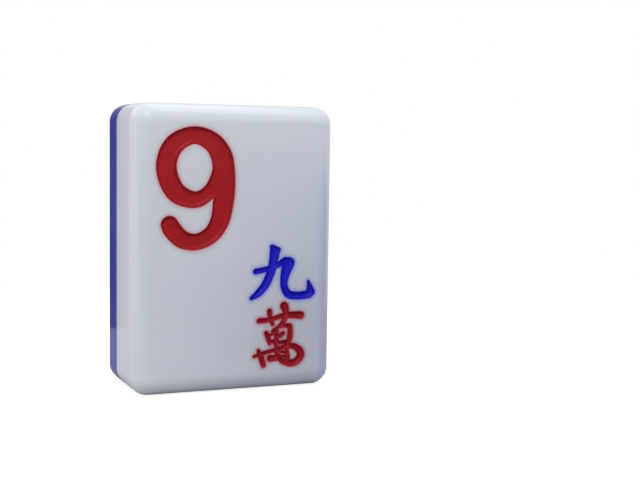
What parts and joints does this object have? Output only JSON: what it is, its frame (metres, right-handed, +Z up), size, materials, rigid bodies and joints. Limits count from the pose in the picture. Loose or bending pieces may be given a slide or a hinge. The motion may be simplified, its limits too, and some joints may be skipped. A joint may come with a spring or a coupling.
{
  "type": "mahjong tile",
  "caption": "Upright two-layer game tile with rounded edges, a white face engraved with painted rank and suit marks, and a plain blue back.",
  "frame": {"origin": "middle of the foot, the short end that the tile stands on", "axes": "+X to the right of the engraved face, +Y from the face towards the blue back, +Z up along the tile's height"},
  "size_m": [0.022, 0.012, 0.03],
  "materials": {
    "face_plastic": "polished white thermoset plastic, slightly cool and pearly",
    "back_plastic": "polished deep blue plastic",
    "red_paint": "dried red enamel paint",
    "blue_paint": "dried blue enamel paint",
    "dark_red_paint": "dried dark red enamel paint"
  },
  "bodies": {
    "root": {"face_block": "face_plastic", "back_block": "back_plastic", "numeral_paint": "red_paint", "rank_paint": "blue_paint", "suit_paint": "dark_red_paint"}
  },
  "joints": []
}
